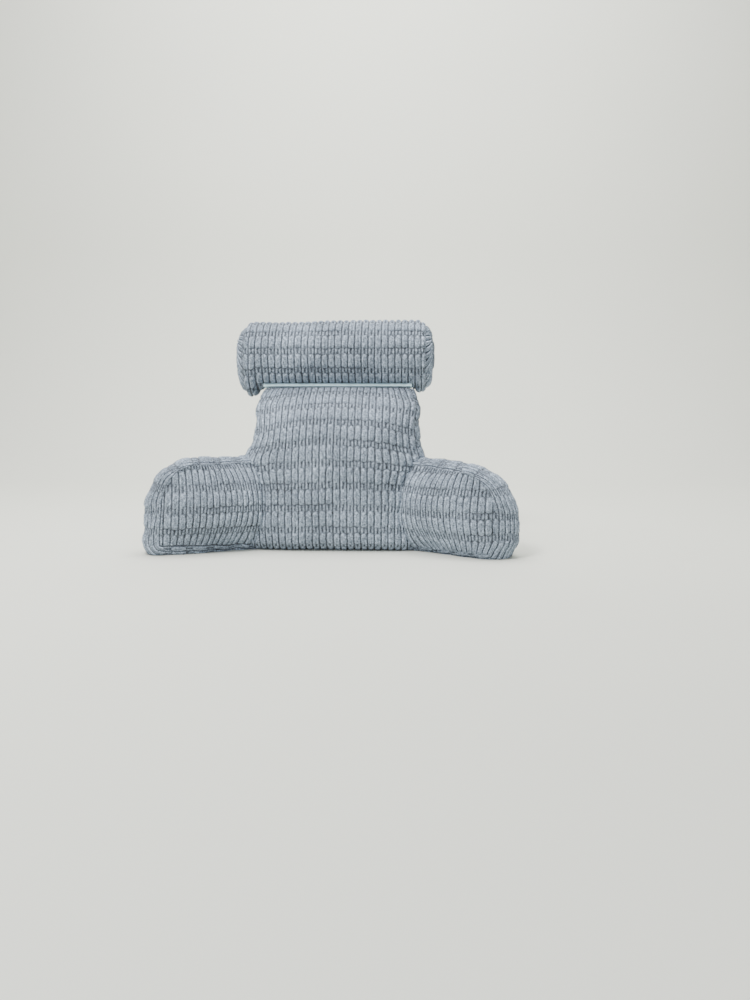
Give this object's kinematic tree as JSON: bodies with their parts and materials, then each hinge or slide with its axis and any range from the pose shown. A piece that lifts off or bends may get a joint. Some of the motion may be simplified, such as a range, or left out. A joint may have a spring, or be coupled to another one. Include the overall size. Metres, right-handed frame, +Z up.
{
  "type": "lumbar support backrest pillow with arms and neck roll",
  "caption": "Wedge-shaped backrest pillow in ribbed plush, with two splayed D-shaped arms and a round neck roll on a woven band.",
  "frame": {"origin": "middle of the whole pillow's width and depth, on the surface it stands on", "axes": "+X to the right of a person who faces the pillow's front, -Y out of its front, +Z up"},
  "size_m": [0.9512, 0.4034, 0.6048],
  "materials": {
    "ribbed_plush": "matt short-pile plush in upright ribs, blue-grey",
    "woven_band": "flat woven tape, pale blue-grey"
  },
  "bodies": {
    "root": {"backrest": "ribbed_plush", "arm_left": "ribbed_plush", "arm_right": "ribbed_plush", "neck_roll": "ribbed_plush", "neck_band": "woven_band"}
  },
  "joints": []
}
